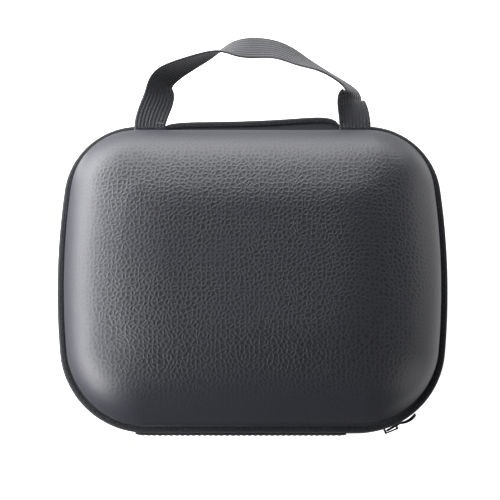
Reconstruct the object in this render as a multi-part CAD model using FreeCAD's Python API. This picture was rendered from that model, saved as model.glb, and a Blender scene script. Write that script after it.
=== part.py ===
"""A moulded hard-shell zip carrying case with a webbing handle.

Millimetres. The case lies on its rear shell: +Z runs from the rear shell to the front shell (the lid),
+X to the right and +Y to the handle, as seen from above. The origin is the centre of the flat face that
the rear shell rests on. The hinge runs along the -Y side. Each file in parts/ is one sub-part.
"""
import FreeCAD, Part

import math
import os

# the two shells, which share one outline
shell_width = 232.5
shell_height = 182.0
shell_depth = 50.0
top_corner_radius = 41.0
hinge_corner_radius = 49.0
side_bow_radius = 450.0
crown_radius = 38.0
cover_wall = 1.0
foam_wall = 4.0
lining_wall = 0.8

# the flange round each shell, and the cloth binding folded over its edge
flange_reach = 5.0
flange_core = 1.5
binding_wall = 0.8
binding_overlap = 3.0
binding_tape_gap = 0.1

# the zip between the flanges
gusset_height = 14.0
tape_wall = 0.8
tape_inset = 1.5
coil_width = 2.2
coil_height = 1.6
coil_gap = 1.2
stop_length = 2.4
stop_wall = 0.8

# the hinge cloth outside the binding, and the spine that closes the zip's gap behind it
hinge_wall = 1.2
hinge_lap = 3.0
hinge_split = 1.0
hinge_left_inset = 6.0
hinge_right_inset = 20.5
spine_past_corner = 13.0
spine_gap = 1.3
axis_clearance = 0.3

# the zip slider, which follows the corner's arc
slider_angle = -68.0
slider_length = 11.0
slider_height = 9.0
slider_plate = 1.1
slider_clearance = 0.3
slider_post = 0.6
slider_lip = 0.8
lid_zip_gap = 1.5
bridge_length = 9.0
bridge_width = 2.4
bridge_bar = 0.9
bridge_opening = 2.4
bridge_foot = 1.2

# the pull tab
pull_length = 20.5
pull_width = 6.0
pull_wall = 1.2
pull_pin = 1.1
pull_tilt = 10.0
pull_ahead = -2.4
pull_pin_play = 0.25
pull_slot = 7.4
pull_hole_radius = 1.5
pull_hole_inset = 3.4

# the webbing handle
webbing_width = 20.0
webbing_wall = 1.6
handle_spread = 130.0
handle_reach = 49.5
handle_axis_gap = 1.2
handle_start_gap = 0.3
tail_length = 4.4
handle_steps = 48

# the handle's route as shares of half its spread and of its reach, with the strap's turn in degrees
handle_route = [
    (-1.00, 0.00, 0), (-0.985, 0.08, 2), (-0.93, 0.28, 12), (-0.905, 0.44, 30), (-0.84, 0.62, 58),
    (-0.66, 0.76, 76), (-0.46, 0.88, 90), (-0.26, 0.972, 119), (0.025, 1.00, 148), (0.19, 0.986, 143),
    (0.466, 0.838, 128), (0.76, 0.645, 110), (0.90, 0.52, 112), (0.96, 0.32, 146), (0.99, 0.12, 174),
    (1.00, 0.00, 180),
]

# the foam inside the rear shell, with a pocket for the instrument and one for its cable
bed_height = 5.0
insert_drop = 3.0
device_side_wall = 13.5
device_end_wall = 33.0
device_depth = 30.0
pocket_divider = 16.0
cable_side_wall = 19.5
cable_end_wall = 43.0
cable_width = 38.0
cable_depth = 24.0
pocket_corner = 8.0
finger_radius = 14.0
finger_depth = 24.0

# the net pocket in the lid
net_wall = 0.8
net_drop = 1.0
net_edge_y = 30.0
net_binding_width = 2.5
hem_width = 8.0
hem_wall = 2.0

# worked out from the sizes above
half_x = shell_width / 2
half_y = shell_height / 2
lining_inset = cover_wall + foam_wall
room_inset = lining_inset + lining_wall
flange_wall = flange_core + cover_wall
binding_reach = flange_reach + binding_wall
seam_z = shell_depth + gusset_height / 2
tape_outer = flange_reach - tape_inset
tape_middle = tape_outer - tape_wall / 2
coil_outer = tape_middle + coil_width / 2
coil_inner = tape_middle - coil_width / 2
coil_low = coil_gap / 2
coil_high = coil_low + coil_height
bow_x = half_x - side_bow_radius
corner_y = half_y - hinge_corner_radius
corner_x = bow_x + math.sqrt((side_bow_radius - hinge_corner_radius) ** 2 - corner_y ** 2)
zip_radius = hinge_corner_radius + tape_middle
slider_half_turn = math.degrees(slider_length / 2 / zip_radius)
slider_start_x = corner_x + zip_radius * math.cos(math.radians(slider_angle - slider_half_turn))
slider_end_x = corner_x + zip_radius * math.cos(math.radians(slider_angle + slider_half_turn))
spine_left = -(corner_x + spine_past_corner)
spine_right = slider_start_x - spine_gap
hinge_left = spine_left + hinge_left_inset
hinge_right = spine_right - hinge_right_inset
axis_y = -(half_y + binding_reach + hinge_wall + axis_clearance)
room_x = half_x - room_inset
room_y = half_y - room_inset
front, rear = 1, -1
far = 2 * (shell_width + shell_height)


def vector(x, y, z=0.0):
    return FreeCAD.Vector(x, y, z)


def corner(radius):
    """Where a corner's arc is centred, so that it runs into the straight end and the bowed side."""
    y = half_y - radius
    return bow_x + math.sqrt((side_bow_radius - radius) ** 2 - y ** 2), y


def quarter(radius, outset):
    """Three points of a quarter of the outline: the bowed side's end, and the corner's middle and end."""
    x, y = corner(radius)
    side_angle = math.atan2(y, x - bow_x)
    middle_angle = (side_angle + math.pi / 2) / 2
    bow, turn = side_bow_radius + outset, radius + outset
    side = bow_x + bow * math.cos(side_angle), bow * math.sin(side_angle)
    middle = x + turn * math.cos(middle_angle), y + turn * math.sin(middle_angle)
    return side, middle, (x, half_y + outset)


def loop(outset, z):
    """The case's outline, moved outwards by outset: straight ends, round corners, bowed sides."""
    def at(point, x_sign, y_sign):
        return vector(x_sign * point[0], y_sign * point[1], z)

    top = quarter(top_corner_radius, outset)
    hinge = quarter(hinge_corner_radius, outset)
    edges = []
    for sign in (1, -1):
        side_middle = vector(sign * (half_x + outset), 0, z)
        edges.append(Part.Arc(at(hinge[0], sign, -1), side_middle, at(top[0], sign, 1)).toShape())
        edges.append(Part.Arc(*[at(point, sign, 1) for point in top]).toShape())
        edges.append(Part.Arc(*[at(point, sign, -1) for point in hinge]).toShape())
    for end, sign in ((top[2], 1), (hinge[2], -1)):
        edges.append(Part.LineSegment(at(end, 1, sign), at(end, -1, sign)).toShape())
    return Part.Wire(Part.sortEdges(edges)[0])


def slab(outset, low, high):
    """A solid of the outline between two heights."""
    return Part.Face(loop(outset, low)).extrude(vector(0, 0, high - low))


def ring(outer, inner, low, high):
    """A band that follows the outline, between two outsets and two heights."""
    return slab(outer, low, high).cut(slab(inner, low - 1, high + 1))


def dome(inset, low=0.0):
    """The inside of one shell half, inset from its outer face, on its flange plane with the crown up."""
    block = slab(-inset, low, shell_depth - inset)
    crown = max(block.Faces, key=lambda face: face.CenterOfMass.z)
    return block.makeFillet(crown_radius - inset, crown.Edges)


def bowl(outer, inner, low=0.0):
    """One layer of a shell half, between two insets from its outer face."""
    return dome(outer, low).cut(dome(inner, low - 1))


def to_half(shape, side):
    """Moves a piece built on the flange plane to its half: the lid, or mirrored to the rear shell."""
    if side == rear:
        shape = shape.mirror(vector(0, 0), vector(0, 0, 1))
    return shape.translated(vector(0, 0, seam_z + side * gusset_height / 2))


def between(side, low, high):
    """Heights counted from the seam towards one half, as two heights of the row frame in order."""
    return sorted((seam_z + side * low, seam_z + side * high))


def hinge_side_box(left, right):
    """All of the hinge side's band between two places along it."""
    return Part.makeBox(right - left, far, 2 * far, vector(left, -far - corner_y, -far))


def cover(side):
    """The leathercloth skin: the shell's outer face, and the flange's."""
    skin = bowl(0, cover_wall, flange_core)
    lip = ring(flange_reach, -cover_wall, flange_core, flange_wall)
    return to_half(skin.fuse(lip).removeSplitter(), side)


def shell(side):
    """The pressed foam shell with its thin flange."""
    wall = bowl(cover_wall, lining_inset)
    lip = ring(flange_reach, -lining_inset, 0, flange_core)
    return to_half(wall.fuse(lip).removeSplitter(), side)


def lining(side):
    return to_half(bowl(lining_inset, room_inset), side)


def binding(side):
    """A cloth strip folded round the flange's edge, down to the zip tape on the seam side."""
    edge = ring(binding_reach, flange_reach, -binding_wall, flange_wall + binding_wall)
    top = ring(flange_reach, flange_reach - binding_overlap, flange_wall, flange_wall + binding_wall)
    under = ring(flange_reach, tape_outer + binding_tape_gap, -binding_wall, 0)
    return to_half(edge.fuse([top, under]).removeSplitter(), side)


def zip_gap(side):
    """The stretch of the hinge side that this half's zip leaves free."""
    if side == rear:
        return hinge_side_box(spine_left, spine_right)
    return hinge_side_box(spine_left, slider_end_x + lid_zip_gap)


def zip_tape(side):
    low, high = between(side, coil_high, gusset_height / 2)
    return ring(tape_outer, tape_outer - tape_wall, low, high).cut(zip_gap(side))


def zip_coil(side):
    low, high = between(side, coil_low, coil_high)
    coil = ring(coil_outer, coil_inner, low, high).cut(zip_gap(side))
    return coil.cut(hinge_side_box(spine_left - stop_wall, spine_left))


def zip_stop(side):
    """A metal clip over the coil's end, on the left of the hinge."""
    low, high = between(side, coil_low, coil_high + slider_lip)
    clip = ring(coil_outer + slider_clearance, coil_inner - slider_clearance, low, high)
    clip = clip.common(hinge_side_box(spine_left - stop_length, spine_left))
    return clip.cut(zip_coil(side)).cut(zip_tape(side))


def spine(side):
    """The cloth that closes the seam's gap where there is no zip."""
    low, high = between(side, hinge_split / 2, gusset_height / 2)
    return ring(tape_outer, tape_outer - tape_wall, low, high).common(hinge_side_box(spine_left, spine_right))


def hinge_leaf(side):
    """One half of the hinge cloth, sewn to the outside of the binding."""
    low, high = between(side, hinge_split / 2, gusset_height / 2 + hinge_lap)
    band = ring(binding_reach + hinge_wall, binding_reach, low, high)
    return band.common(hinge_side_box(hinge_left, hinge_right))


def sector(inner, outer, start, end, low, high):
    """A piece of a ring about the zip's corner, from one angle to another in degrees."""
    z = seam_z + low
    tall = high - low
    tube = Part.makeCylinder(outer, tall, vector(corner_x, -corner_y, z))
    tube = tube.cut(Part.makeCylinder(inner, tall, vector(corner_x, -corner_y, z)))
    cut_radius = 2 * outer
    first = vector(cut_radius * math.cos(math.radians(start)), cut_radius * math.sin(math.radians(start)))
    last = vector(cut_radius * math.cos(math.radians(end)), cut_radius * math.sin(math.radians(end)))
    centre = vector(corner_x, -corner_y, z)
    wedge = Part.makePolygon([centre, centre + first, centre + last, centre])
    return tube.common(Part.Face(wedge).extrude(vector(0, 0, tall)))


def slider_body():
    """Two plates on either side of the coil, joined by a post between its halves, with lips over it."""
    start, end = slider_angle - slider_half_turn, slider_angle + slider_half_turn
    near = coil_width / 2 + slider_clearance
    outside = near + slider_plate
    half_height = slider_height / 2
    lip_low = coil_high + slider_clearance
    lip_face = tape_wall / 2 + slider_clearance
    plates = [sector(zip_radius + near, zip_radius + outside, start, end, -half_height, half_height),
              sector(zip_radius - outside, zip_radius - near, start, end, -half_height, half_height)]
    post = sector(zip_radius - near, zip_radius + near, start, start + slider_half_turn / 3,
                  -slider_post / 2, slider_post / 2)
    lips = []
    for low, high in ((lip_low, lip_low + slider_lip), (-lip_low - slider_lip, -lip_low)):
        lips.append(sector(zip_radius + lip_face, zip_radius + near, start, end, low, high))
        lips.append(sector(zip_radius - near, zip_radius - lip_face, start, end, low, high))
    return plates[0].fuse([plates[1], post] + lips).removeSplitter()


def on_slider(shape, angle):
    """Moves a piece built with +X outwards from the zip's path and +Y along it to an angle of the corner."""
    shape = shape.rotated(vector(0, 0), vector(0, 0, 1), angle)
    a = math.radians(angle)
    return shape.translated(vector(corner_x + zip_radius * math.cos(a),
                                   -corner_y + zip_radius * math.sin(a), seam_z))


def slider_bridge():
    """The bail on the slider's outer plate that the pull tab hangs on."""
    plate_face = coil_width / 2 + slider_clearance + slider_plate
    height = bridge_opening + bridge_bar
    outer = Part.makeBox(plate_face + height, bridge_length, bridge_width,
                         vector(0, -bridge_length / 2, -bridge_width / 2))
    hole_length = bridge_length - 2 * bridge_foot
    hole = Part.makeBox(plate_face + bridge_opening, hole_length, 2 * bridge_width,
                        vector(0, -hole_length / 2, -bridge_width))
    bail = on_slider(outer.cut(hole), slider_angle)
    low = seam_z - bridge_width
    plate = Part.makeCylinder(zip_radius + plate_face, 2 * bridge_width, vector(corner_x, -corner_y, low))
    return bail.cut(plate)


def pull_tab():
    """A flat tab with a slot that the bridge passes through, its cross bar as the hinge pin."""
    half = pull_width / 2
    plate = Part.makeBox(pull_wall, pull_length - half, pull_width, vector(-pull_wall / 2, 0, -half))
    tip = Part.makeCylinder(half, pull_wall, vector(-pull_wall / 2, pull_length - half, 0), vector(1, 0, 0))
    slot_width = bridge_width + 2 * slider_clearance
    slot = Part.makeBox(2 * pull_wall, 2 * pull_slot, slot_width,
                        vector(-pull_wall, -pull_slot, -slot_width / 2))
    hole = Part.makeCylinder(pull_hole_radius, 2 * pull_wall,
                             vector(-pull_wall, pull_length - pull_hole_inset, 0), vector(1, 0, 0))
    pin = Part.makeCylinder(pull_pin / 2, pull_width, vector(0, 0, -half))
    tab = plate.fuse(tip).cut(slot).cut(hole).fuse(pin).removeSplitter()
    tab = tab.rotated(vector(0, 0), vector(0, 0, 1), pull_tilt + pull_turn() + slider_angle)
    x, y = pull_pivot()
    return tab.translated(vector(x, y, seam_z))


def pull_radius():
    """The pull pin's distance from the zip's path, in the outer end of the bridge's opening."""
    plate_face = coil_width / 2 + slider_clearance + slider_plate
    return plate_face + bridge_opening - pull_pin / 2 - pull_pin_play


def pull_turn():
    """The angle from the slider's middle to the pull pin, about the corner's centre."""
    return math.degrees(math.atan2(pull_ahead, zip_radius + pull_radius()))


def pull_pivot():
    a = math.radians(slider_angle)
    out = zip_radius + pull_radius()
    x = corner_x + out * math.cos(a) - pull_ahead * math.sin(a)
    y = -corner_y + out * math.sin(a) + pull_ahead * math.cos(a)
    return x, y


def handle_axis():
    """The y and z of the line that the handle swings about, on the middle of the webbing."""
    z = seam_z + gusset_height / 2 + flange_wall + binding_wall + webbing_wall / 2
    return half_y + binding_reach + handle_axis_gap, z


def handle_webbing():
    """The strap: flat at both ends, turned over once between them, as a ruled solid through its sections."""
    y0, z0 = handle_axis()
    points = []
    for across, rise, turn in handle_route:
        points.append(vector(across * handle_spread / 2, handle_start_gap + rise * handle_reach, turn))
    route = Part.BSplineCurve()
    route.interpolate(points)
    sections = []
    for step in range(handle_steps + 1):
        spot = route.LastParameter * step / handle_steps
        place, heading = route.value(spot), route.tangent(spot)[0]
        angle = math.atan2(heading.y, heading.x)
        if step in (0, handle_steps):
            angle = math.copysign(math.pi / 2, angle)
        turn = math.radians(place.z)
        flat = vector(-math.sin(angle), math.cos(angle))
        wide = (flat * math.cos(turn) + vector(0, 0, math.sin(turn))) * (webbing_width / 2)
        thick = (flat * math.sin(turn) - vector(0, 0, math.cos(turn))) * (webbing_wall / 2)
        middle = vector(place.x, y0 + place.y, z0)
        corners = [middle + wide + thick, middle - wide + thick, middle - wide - thick, middle + wide - thick]
        sections.append(Part.makePolygon(corners + corners[:1]))
    return Part.makeLoft(sections, True, True)


def handle_tail(sign):
    """A sewn end of the handle, flat on the lid's binding."""
    low = handle_axis()[1] - webbing_wall / 2
    end = half_y + flange_reach - tail_length
    corner = vector(sign * handle_spread / 2 - webbing_width / 2, end, low)
    return Part.makeBox(webbing_width, tail_length, webbing_wall, corner)


def foam_bed():
    """The soft sheet under the insert, on the rear shell's lining."""
    crown = shell_depth - room_inset
    return to_half(dome(room_inset).common(slab(0, crown - bed_height, crown)), rear)


def pocket(left, right, end_wall, depth):
    """A pocket's room with round corners, open at the insert's top."""
    reach = room_y - end_wall
    low = shell_depth - insert_drop - depth
    block = Part.makeBox(right - left, 2 * reach, depth + 1, vector(left, -reach, low))
    upright = [edge for edge in block.Edges if edge.BoundBox.ZLength > depth]
    return block.makeFillet(pocket_corner, upright)


def foam_insert():
    """The fitted foam block: the instrument's pocket with two finger scoops, and the cable's pocket."""
    crown = shell_depth - room_inset - bed_height
    block = to_half(dome(room_inset).common(slab(0, insert_drop, crown)), rear)
    cable_right = room_x - cable_side_wall
    cable_left = cable_right - cable_width
    device_left = device_side_wall - room_x
    device_right = cable_left - pocket_divider
    block = block.cut(pocket(cable_left, cable_right, cable_end_wall, cable_depth))
    block = block.cut(pocket(device_left, device_right, device_end_wall, device_depth))
    middle = (device_left + device_right) / 2
    low = shell_depth - insert_drop - finger_depth
    for sign in (1, -1):
        centre = vector(middle, sign * (room_y - device_end_wall), low)
        block = block.cut(Part.makeCylinder(finger_radius, finger_depth + 1, centre))
    return block


def net_side_box(low_y, high_y):
    return Part.makeBox(far, high_y - low_y, 2 * far, vector(-far / 2, low_y, -far))


def pocket_net():
    """The net across the lid, from the hinge side up to its elastic edge."""
    sheet = slab(-room_inset, net_drop, net_drop + net_wall)
    return to_half(sheet.common(net_side_box(-far, net_edge_y)), front)


def pocket_hem():
    """The elastic edge of the net."""
    middle = net_drop + net_wall / 2
    band = slab(-room_inset, middle - hem_wall / 2, middle + hem_wall / 2)
    return to_half(band.common(net_side_box(net_edge_y, net_edge_y + hem_width)), front)


def pocket_binding():
    """The tape that holds the net's outer edge to the lining."""
    band = ring(-room_inset, -room_inset - net_binding_width, net_drop - net_wall, net_drop)
    return to_half(band.common(net_side_box(-far, net_edge_y)), front)


def parts():
    """Every sub-part by its node's name."""
    pieces = {}
    for name, side in (("front", front), ("rear", rear)):
        pieces[name + "_cover"] = cover(side)
        pieces[name + "_shell"] = shell(side)
        pieces[name + "_lining"] = lining(side)
        pieces[name + "_binding"] = binding(side)
        pieces[name + "_zip_tape"] = zip_tape(side)
        pieces[name + "_zip_coil"] = zip_coil(side)
        pieces[name + "_zip_stop"] = zip_stop(side)
        pieces[name + "_spine"] = spine(side)
        pieces[name + "_hinge_leaf"] = hinge_leaf(side)
    pieces["slider_body"] = slider_body()
    pieces["slider_bridge"] = slider_bridge()
    pieces["pull_tab"] = pull_tab()
    pieces["handle_webbing"] = handle_webbing()
    pieces["handle_tail_left"] = handle_tail(-1)
    pieces["handle_tail_right"] = handle_tail(1)
    pieces["foam_bed"] = foam_bed()
    pieces["foam_insert"] = foam_insert()
    pieces["pocket_net"] = pocket_net()
    pieces["pocket_hem"] = pocket_hem()
    pieces["pocket_binding"] = pocket_binding()
    return pieces


def main():
    os.makedirs("parts", exist_ok=True)
    for name, shape in parts().items():
        solids = len(shape.Solids)
        print(name, "solids", solids, "valid", shape.isValid(), "volume", round(shape.Volume, 1))
        shape.exportStep(os.path.join("parts", name + ".step"))
    x, y = pull_pivot()
    print("lid hinge axis y", round(axis_y, 3), "z", seam_z)
    print("slider axis", round(corner_x, 3), round(-corner_y, 3), "pull axis", round(x, 3), round(y, 3))
    print("handle axis y, z", [round(value, 3) for value in handle_axis()])


main()
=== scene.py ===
"""The looks of a moulded zip carrying case: its skins, cloth, zip, hinge, handle and inside."""
import math

import bmesh
import bpy
import numpy as np
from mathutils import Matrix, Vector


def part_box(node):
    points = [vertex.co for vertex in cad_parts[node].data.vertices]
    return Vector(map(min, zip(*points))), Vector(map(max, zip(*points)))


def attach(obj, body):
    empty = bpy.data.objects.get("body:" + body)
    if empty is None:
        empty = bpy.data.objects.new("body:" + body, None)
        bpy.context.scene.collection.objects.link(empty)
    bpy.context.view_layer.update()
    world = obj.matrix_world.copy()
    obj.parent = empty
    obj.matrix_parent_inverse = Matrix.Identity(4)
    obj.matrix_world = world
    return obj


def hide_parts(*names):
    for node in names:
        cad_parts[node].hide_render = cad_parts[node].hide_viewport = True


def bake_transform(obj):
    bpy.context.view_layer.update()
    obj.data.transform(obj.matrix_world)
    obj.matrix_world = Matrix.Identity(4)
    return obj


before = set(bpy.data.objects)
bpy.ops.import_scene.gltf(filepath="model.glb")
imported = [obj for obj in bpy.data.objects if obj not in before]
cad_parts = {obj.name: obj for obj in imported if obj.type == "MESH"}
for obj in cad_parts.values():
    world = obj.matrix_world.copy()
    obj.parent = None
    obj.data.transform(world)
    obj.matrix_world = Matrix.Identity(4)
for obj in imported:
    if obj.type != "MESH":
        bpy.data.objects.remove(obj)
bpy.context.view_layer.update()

bl_info = {
    "name": "Moulded zip case",
    "version": (1, 0, 0),
    "blender": (4, 5, 0),
    "location": "View3D > Sidebar > Case",
    "description": "Builds the skins, cloth, zip, hinge, handle and inside of a moulded zip carrying case",
    "category": "Object",
}

front, rear = 1, -1
half_turn = math.pi


def low(node):
    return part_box(node)[0]


def high(node):
    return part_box(node)[1]


# heights that both halves are counted from: the seam in the middle, and the flange planes on either side
seam_z = (low("front_binding").z + high("rear_binding").z) / 2
flange_z = low("front_shell").z - seam_z
shell_depth = high("front_cover").z - low("front_shell").z


def colour(code):
    """A colour from its sRGB hex code as linear red, green, blue and an opacity of 1."""
    channels = [int(code[start:start + 2], 16) / 255 for start in (1, 3, 5)]
    return [c / 12.92 if c <= 0.04045 else ((c + 0.055) / 1.055) ** 2.4 for c in channels] + [1.0]


def length(name, description, default):
    return bpy.props.FloatProperty(name=name, description=description, default=default, unit="LENGTH",
                                   subtype="DISTANCE", min=0.0, precision=5)


def count(name, description, default):
    return bpy.props.IntProperty(name=name, description=description, default=default, min=1)


def tint(name, description, code):
    return bpy.props.FloatVectorProperty(name=name, description=description, default=colour(code)[:3],
                                         subtype="COLOR", size=3, min=0.0, max=1.0)


class CaseShape(bpy.types.PropertyGroup):
    """The outline and the wall of the two shells."""
    flange_reach: length("Flange", "How far the flange stands out from the shell", 0.005)
    top_corner: length("Handle corners", "Radius of the two corners on the handle's side", 0.041)
    hinge_corner: length("Hinge corners", "Radius of the two corners on the hinge's side", 0.049)
    side_bow: length("Side bow", "Radius of the two slightly bowed sides", 0.45)
    crown_radius: length("Crown radius", "Radius between the shell's wall and its crown", 0.038)
    crown_rise: length("Crown rise", "How far the middle of the lid's crown is domed", 0.0052)
    crown_rounding: bpy.props.FloatProperty(
        name="Crown rounding", default=22.0, min=0.0,
        description="How far the corners of the lid's crown are evened out, in stations of the outline")
    crown_spread: length("Crown spread", "How much further in the lid's domed edge reaches", 0.024)
    root_radius: length("Root radius", "Radius between the flange and the wall", 0.0012)
    lining_inset: length("Lining inset", "How far the lining's face is inside the shell's face", 0.0058)
    step: length("Step", "Distance between two stations along the outline", 0.0016)


class CaseCloth(bpy.types.PropertyGroup):
    """Bindings, hinge, webbing and seams."""
    band_swell: length("Band swell", "How far the flange stands out more between the handle's ends", 0.003)
    band_swell_right: length("Band swell, right", "What the swell grows by towards the right", 0.0053)
    stitch_pitch: length("Stitch pitch", "Distance from one stitch to the next", 0.0034)
    stitch_length: length("Stitch length", "Length of one stitch", 0.0025)
    thread: length("Thread", "Thickness of the sewing thread", 0.00055)
    rib_count: count("Webbing ribs", "Number of ribs across the handle", 9)
    rib_depth: length("Rib depth", "Depth of the grooves between the handle's ribs", 0.00032)
    coil_pitch: length("Coil pitch", "Distance from one turn of the zip's coil to the next", 0.0015)
    coil_wire: length("Coil wire", "Thickness of the coil's nylon wire", 0.0006)
    lid_zip_start: length("Lid zip start", "Where the lid's coil starts, right of the middle", 0.091)


class CaseColours(bpy.types.PropertyGroup):
    """The colours of the finishes."""
    leather: tint("Leathercloth", "Charcoal leathercloth of the shells", "#2f3037")
    # painted shade: the darker colour the grain's pits are drawn in, standing in for the shade that falls in
    # them
    painted_pit_shade: tint("Painted pit shade", "The darker pits of the leathercloth's grain", "#15161a")
    binding: tint("Binding", "Woven tape over the flanges' edges", "#1d1f25")
    webbing: tint("Webbing", "Webbing of the handle", "#22232a")
    hinge: tint("Hinge cloth", "Cloth of the hinge", "#1c1e24")
    metal: tint("Zip metal", "Black coating of the slider and its pull", "#2c2d31")
    coil: tint("Zip coil", "Nylon of the zip's coil", "#17181b")
    lining: tint("Lining", "Knitted lining", "#26272c")
    foam: tint("Foam", "Soft foam of the insert", "#2f3136")
    thread: tint("Thread", "Sewing thread", "#2b2d35")


# ---------------------------------------------------------------- surfaces

def outline(shape):
    """The case's outline from above, anticlockwise from the middle of the handle's side.

    A point is a centre plus a radius times the outward direction. On a round corner or a bowed side the
    direction turns evenly with the distance, and on a straight end the centre moves along instead. Returns
    the places, the outward directions and the distances, so that a place moved by any outset along its
    direction is on a parallel outline.
    """
    half_x, half_y = high("front_cover").x - shape.flange_reach, high("front_cover").y - shape.flange_reach
    bow, bow_x = shape.side_bow, half_x - shape.side_bow

    def corner(radius):
        y = half_y - radius
        x = bow_x + math.sqrt((bow - radius) ** 2 - y ** 2)
        return x, y, math.atan2(y, x - bow_x)

    top, base = shape.top_corner, shape.hinge_corner
    top_x, top_y, top_turn = corner(top)
    base_x, base_y, base_turn = corner(base)
    quarter = half_turn / 2
    stretches = [
        ((0, top_y), (-top_x, top_y), top, quarter, quarter),
        ((-top_x, top_y), (-top_x, top_y), top, quarter, half_turn - top_turn),
        ((-bow_x, 0), (-bow_x, 0), bow, half_turn - top_turn, half_turn + base_turn),
        ((-base_x, -base_y), (-base_x, -base_y), base, half_turn + base_turn, 3 * quarter),
        ((-base_x, -base_y), (base_x, -base_y), base, 3 * quarter, 3 * quarter),
        ((base_x, -base_y), (base_x, -base_y), base, 3 * quarter, 4 * quarter - base_turn),
        ((bow_x, 0), (bow_x, 0), bow, 4 * quarter - base_turn, 4 * quarter + top_turn),
        ((top_x, top_y), (top_x, top_y), top, 4 * quarter + top_turn, 5 * quarter),
        ((top_x, top_y), (0, top_y), top, 5 * quarter, 5 * quarter),
    ]
    places, directions, distances, start = [], [], [], 0.0
    for first, last, radius, turn, end_turn in stretches:
        first, last = np.array(first, float), np.array(last, float)
        span = np.linalg.norm(last - first) + radius * (end_turn - turn)
        steps = max(2, round(span / shape.step))
        share = (np.arange(steps) / steps)[:, None]
        angle = turn + (end_turn - turn) * share
        direction = np.hstack([np.cos(angle), np.sin(angle)])
        places.append(first + (last - first) * share + radius * direction)
        directions.append(direction)
        distances.append(start + span * share[:, 0])
        start += span
    return np.vstack(places), np.vstack(directions), np.concatenate(distances), start


def stations(shape, first=None, last=None):
    """All of the outline, or the stretch between two distances along it with even steps: the places and the
    outward directions."""
    if first is None:
        return outline(shape)[:2]
    steps = max(4, round((last - first) / shape.step))
    return spots_at(shape, np.linspace(first, last, steps + 1))


def spots_at(shape, wanted):
    """The places and outward directions at any distances along the outline, which may pass its start."""
    places, directions, distances, whole = outline(shape)
    known = np.concatenate([distances - whole, distances, distances + whole, distances + 2 * whole])
    at = [np.interp(wanted, known, np.tile(values, 4)) for values in (*places.T, *directions.T)]
    turned = np.stack(at[2:], 1)
    return np.stack(at[:2], 1), turned / np.linalg.norm(turned, axis=1)[:, None]


def hinge_side(shape, x, outset):
    """The distance along the outline at which its hinge side, moved out by an outset, is at x."""
    places, directions, distances, _ = outline(shape)
    low_half = directions[:, 1] < -0.1
    return float(np.interp(x, (places + outset * directions)[low_half, 0], distances[low_half]))


def swell(places, directions, cloth):
    """The hump of the band between the handle's ends: it rises steeply at both ends, and grows with the
    cube of the share of the way to the right."""
    left, right = high("handle_tail_left").x, low("handle_tail_right").x
    share = np.clip((places[:, 0] - left) / (right - left), 0, 1)
    hump = cloth.band_swell + cloth.band_swell_right * share ** 3
    hump = hump * np.sqrt(np.maximum(0, 1 - np.abs(2 * share - 1) ** 6))
    return np.where(directions[:, 1] > 0.999, hump, 0.0)


# from where, outside the shell, the band's swell sets in, and over what distance
swell_ramp = 0.0003, 0.0017


def along_outline(stretch, outsets, heights, cloth=None):
    """A profile of outsets and heights carried along stations of the outline, as a grid of points. Points
    outside the shell also move out with the band's swell."""
    places, directions = stretch
    reach = np.broadcast_to(np.asarray(outsets, float), (len(places), len(outsets))).copy()
    if cloth is not None:
        reach += swell(places, directions, cloth)[:, None] * eased(np.asarray(outsets), *swell_ramp)[None, :]
    flat = places[:, None, :] + directions[:, None, :] * reach[:, :, None]
    tall = np.broadcast_to(np.asarray(heights, float), flat.shape[:2])
    return np.dstack([flat, tall])


def steps_between(start, end, steps):
    return np.linspace(start, end, steps, endpoint=False)


def eased(values, start, span):
    """Shares from 0 to 1 over a span, flat at both ends: three times the square less twice the cube."""
    share = np.clip((values - start) / span, 0, 1)
    return share ** 2 * (3 - 2 * share)


def arc(centre, radius, start, end, steps):
    """Points of an arc in a profile, with angles in degrees from the outset's direction."""
    angle = np.radians(np.linspace(start, end, steps))
    return centre[0] + radius * np.cos(angle), centre[1] + radius * np.sin(angle)


def rounded_box(wide, tall, radius, steps=4):
    """A rectangle with round corners about the origin, anticlockwise: four quarter circles joined up."""
    x, y = wide / 2 - radius, tall / 2 - radius
    corners = [arc(c, radius, a, a + 90, steps) for c, a in
               (((x, y), 0), ((-x, y), 90), ((-x, -y), 180), ((x, -y), 270))]
    return np.hstack([np.vstack(c) for c in corners])


def grid_faces(rows, columns, loop_rows, loop_columns):
    """The four-sided faces of a grid, and their corners' places in the same grid laid out flat."""
    row, column = np.meshgrid(np.arange(rows - (not loop_rows)), np.arange(columns - (not loop_columns)),
                              indexing="ij")
    row, column = row.ravel(), column.ravel()
    corners = ((0, 0), (0, 1), (1, 1), (1, 0))
    faces = np.stack([(row + i) % rows * columns + (column + j) % columns for i, j in corners], 1)
    flat = np.stack([(row + i) * (columns + 1) + column + j for i, j in corners], 1)
    return faces, flat


def end_fan(ring, middle):
    """Triangles from a closed ring of points to a point in its middle."""
    return np.stack([ring, np.roll(ring, -1), np.full(len(ring), middle)], 1)


def measured(points, axis, loop):
    """Distances along one axis of a grid, averaged over the other, with the closing step if it's a loop."""
    if loop:
        points = np.concatenate([points, np.take(points, [0], axis)], axis)
    steps = np.linalg.norm(np.diff(points, axis=axis), axis=2).mean(1 - axis)
    return np.concatenate([[0.0], np.cumsum(steps)])


def signed_volume(points, faces, about):
    """Six times the volume between faces and a point: positive where the faces point away from it."""
    a, b, c = [points[faces[:, i]] - about for i in range(3)]
    return float(np.einsum("ij,ij->i", a, np.cross(b, c)).sum())


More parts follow.
